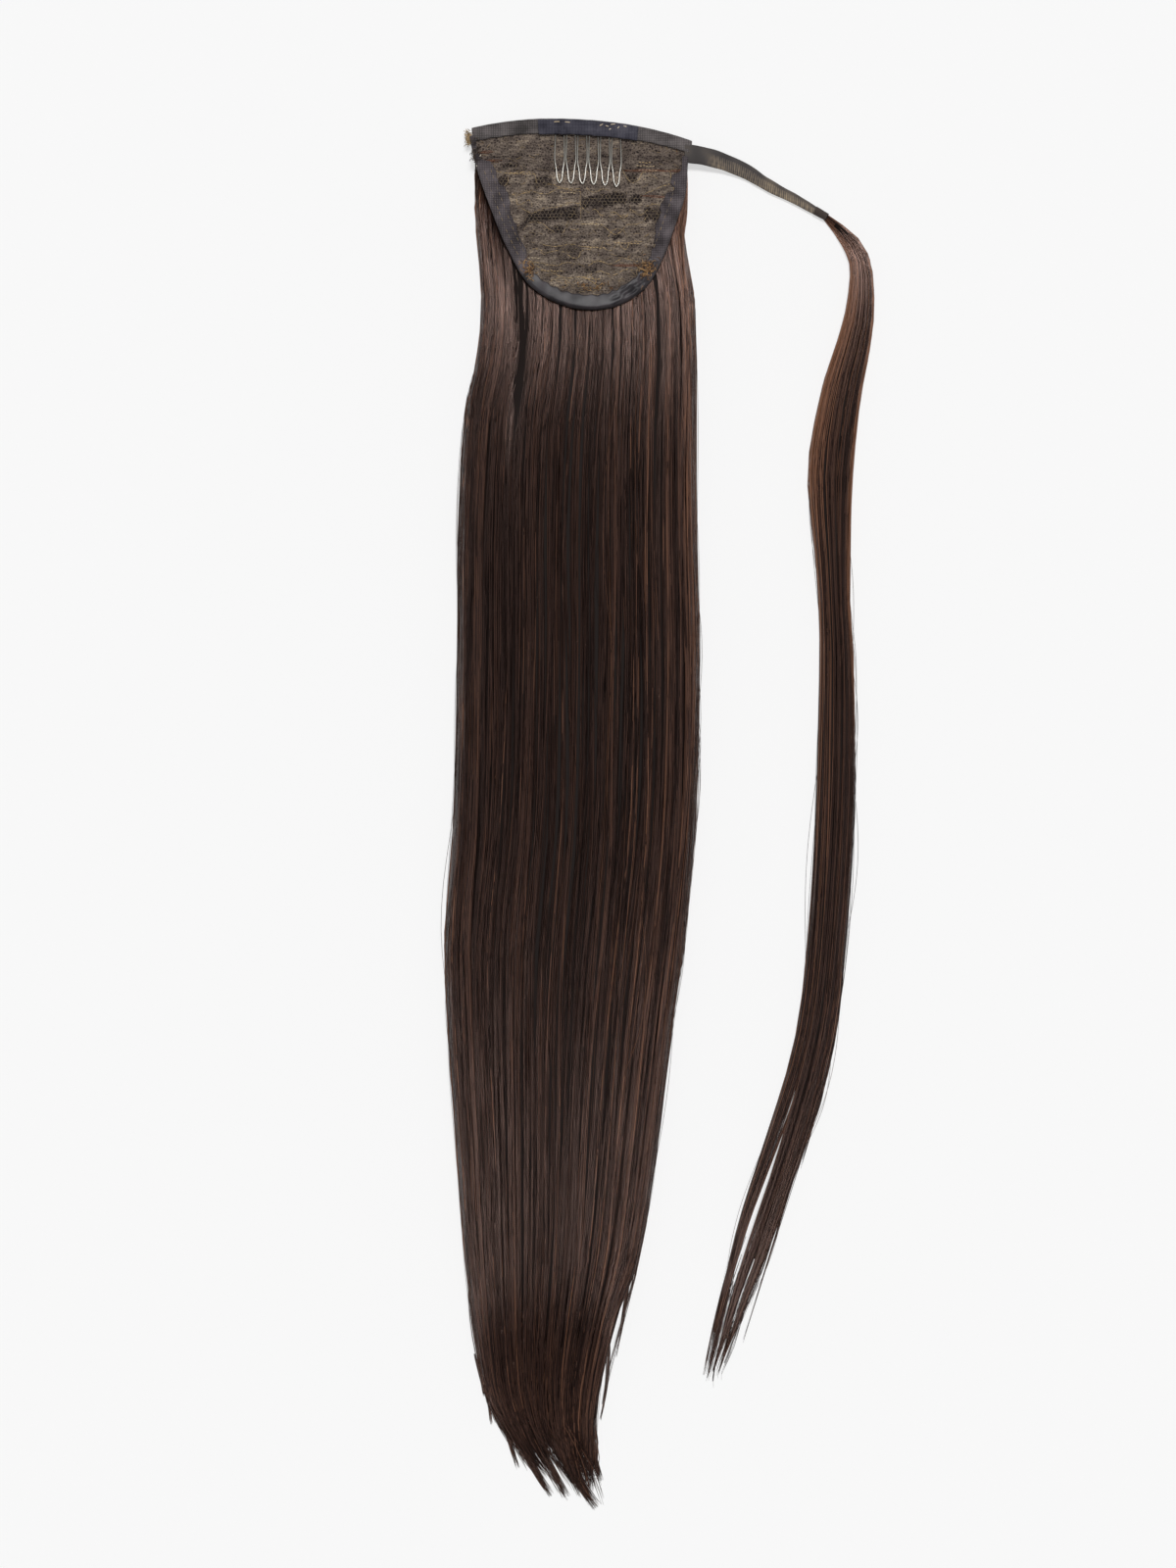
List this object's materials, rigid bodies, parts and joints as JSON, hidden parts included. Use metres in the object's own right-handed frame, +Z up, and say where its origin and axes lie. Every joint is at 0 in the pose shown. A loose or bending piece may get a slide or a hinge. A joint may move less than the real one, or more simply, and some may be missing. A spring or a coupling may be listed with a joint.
{
  "type": "ponytail hairpiece",
  "caption": "Wrap-around ponytail hairpiece: straight dark hair sewn under a bound lace base with a wire comb, and a strap that ends in a strand to wind round.",
  "frame": {"origin": "middle of the footprint, on the surface that the hairpiece lies on", "axes": "+Z up, out of the inside of the base, which lies uppermost; +Y along the hair from its tips to the base; +X towards the strap and the wrap strand"},
  "size_m": [0.1746, 0.5652, 0.0194],
  "materials": {
    "hair": "glossy straight hair",
    "lace": "dense lace net",
    "cotton_tape": "woven tape",
    "satin_tape": "satin tape",
    "cover_cloth": "woven cloth",
    "thread": "sewing thread",
    "comb_steel": "bright wire"
  },
  "bodies": {
    "root": {"lace_panel": "lace", "header_tape": "cotton_tape", "left_tape": "cotton_tape", "right_tape": "cotton_tape", "rim_tape": "satin_tape", "comb_cover": "cover_cloth", "comb_wire": "comb_steel", "strap": "cotton_tape", "thread_whipping": "thread", "hair_fall": "hair", "wrap_strand": "hair"}
  },
  "joints": []
}
